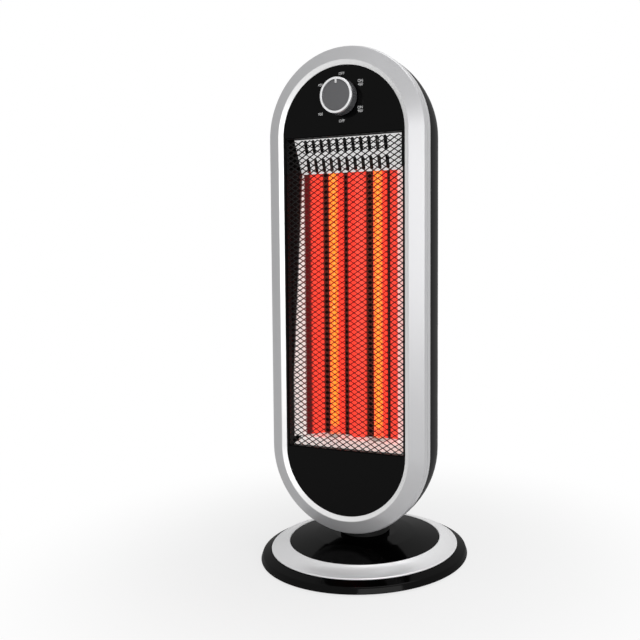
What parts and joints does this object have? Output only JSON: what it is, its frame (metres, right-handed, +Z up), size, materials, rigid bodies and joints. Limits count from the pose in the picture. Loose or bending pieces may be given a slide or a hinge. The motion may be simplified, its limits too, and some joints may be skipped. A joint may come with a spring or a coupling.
{
  "type": "carbon heater",
  "caption": "Upright oval electric heater: glowing tubes before a bent mirror reflector behind a mesh guard, a rotary dial above, and a head that swings on a round base.",
  "frame": {"origin": "on the floor, on the swivel axis at the centre of the round base", "axes": "+Z up, the front with the dial faces -Y, +X is to the right of someone looking along +Y"},
  "size_m": [0.26, 0.26, 0.618],
  "materials": {
    "silver_plastic": "satin silver",
    "gloss_black": "gloss",
    "knob_grey": "satin",
    "black_steel": "satin black",
    "mirror_sheet": "polished",
    "steel": "zinc plated",
    "quartz": "clear",
    "glowing_carbon": "glowing",
    "white_ceramic": "matte",
    "brass": "plain",
    "nylon_white": "matte",
    "matte_black": "matte",
    "rubber": "matte",
    "lead_sleeve": "matte",
    "zinc_screw": "zinc plated"
  },
  "bodies": {
    "base": {"base_cover": "gloss_black", "base_trim_ring": "silver_plastic", "base_plate": "steel", "base_screws": "zinc_screw", "rubber_feet": "rubber", "counterweight": "steel", "thrust_washer": "matte_black", "retaining_washer": "steel", "oscillation_motor": "steel", "motor_standoffs": "steel", "motor_screws": "zinc_screw", "tip_switch": "matte_black", "terminal_block": "nylon_white", "cord_inlet_bush": "rubber", "base_loom": "rubber", "base_leads": "lead_sleeve"},
    "head": {"front_bezel": "silver_plastic", "front_panel": "gloss_black", "guard_mesh": "black_steel", "mesh_spacer": "black_steel", "chassis": "black_steel", "reflector": "mirror_sheet", "vent_plate": "mirror_sheet", "lower_plate": "mirror_sheet", "tube_bracket_lower": "black_steel", "tube_bracket_upper": "black_steel", "quartz_tube_left": "quartz", "quartz_tube_right": "quartz", "carbon_filament_left": "glowing_carbon", "carbon_filament_right": "glowing_carbon", "ceramic_caps": "white_ceramic", "thermal_cutout": "steel", "rotary_switch": "matte_black", "switch_spades": "brass", "switch_nut": "brass", "rear_cover": "gloss_black", "swivel_neck": "matte_black", "neck_bracket": "steel", "toothed_sector": "nylon_white", "head_loom": "rubber", "lead_left": "lead_sleeve", "lead_right": "lead_sleeve", "lead_return": "lead_sleeve", "lead_supply": "lead_sleeve", "chassis_screws": "zinc_screw", "rear_screws": "zinc_screw", "pan_screws": "zinc_screw", "neck_screws": "zinc_screw", "sector_screws": "zinc_screw"},
    "dial": {"knob": "gloss_black", "knob_face": "knob_grey", "switch_shaft": "steel"},
    "pinion": {"drive_pinion": "nylon_white", "motor_shaft": "steel"},
    "plunger": {"tip_plunger": "nylon_white"}
  },
  "joints": [
    {"name": "head_swivel", "type": "hinge", "parent": "base", "child": "head", "pos_m": [0, 0, 0.03], "axis": [0, 0, 1], "range_deg": [-35, 35]},
    {"name": "dial_turn", "type": "hinge", "parent": "head", "child": "dial", "pos_m": [0, -0.065, 0.5575], "axis": [0, -1, 0], "continuous": true},
    {"name": "pinion_turn", "type": "hinge", "parent": "base", "child": "pinion", "pos_m": [0, 0.05, 0.02], "axis": [0, 0, 1], "range_deg": [-183.75, 183.75]},
    {"name": "plunger_slide", "type": "slide", "parent": "base", "child": "plunger", "axis": [0, 0, 1], "range_m": [-0.0035, 0], "stiffness_N_per_m": 20, "springref_m": -0.005}
  ],
  "couplings": [
    {"joint": "pinion_turn", "follows": "head_swivel", "ratio": -5.25}
  ]
}
